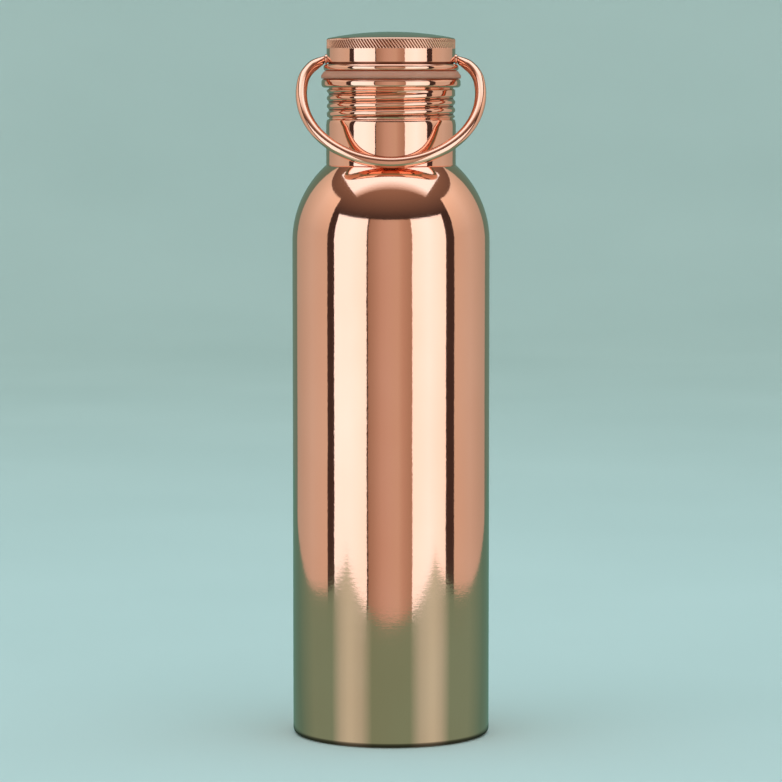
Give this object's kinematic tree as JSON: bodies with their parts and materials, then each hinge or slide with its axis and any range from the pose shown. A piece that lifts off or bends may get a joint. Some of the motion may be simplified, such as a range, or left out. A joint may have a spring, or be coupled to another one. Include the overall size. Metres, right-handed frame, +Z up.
{
  "type": "water bottle",
  "caption": "Tall metal drinking bottle: straight body, rounded shoulder, threaded neck, screw cap with knurled rim and soft gasket, and a swinging wire carry ring.",
  "frame": {"origin": "centre of the base, at the height of the ring it stands on", "axes": "+Z up along the bottle's axis; the carry ring's pivot line runs along X and the ring hangs on the -Y side"},
  "size_m": [0.075, 0.075, 0.2678],
  "materials": {
    "copper": "polished copper",
    "silicone": "translucent satin silicone"
  },
  "bodies": {
    "bottle": {"body_shell": "copper", "base_disc": "copper", "neck_collar": "copper"},
    "gasket": {"gasket": "silicone"},
    "cap": {"cap_shell": "copper", "cap_plug": "copper", "eyelet_left": "copper", "eyelet_right": "copper"},
    "handle": {"handle_ring": "copper"}
  },
  "joints": [
    {"name": "cap_lift", "type": "slide", "parent": "bottle", "child": "gasket", "axis": [0, 0, 1], "range_m": [0, 0.02361]},
    {"name": "cap_turn", "type": "hinge", "parent": "gasket", "child": "cap", "pos_m": [0, 0, 0.2501], "axis": [0, 0, 1], "range_deg": [0, 2880]},
    {"name": "ring_swing", "type": "hinge", "parent": "cap", "child": "handle", "pos_m": [0, 0, 0.2575], "axis": [-1, 0, 0], "range_deg": [0, 289.8]}
  ],
  "couplings": [
    {"joint": "cap_lift", "follows": "cap_turn", "m_per_rad": 0.00046951}
  ]
}
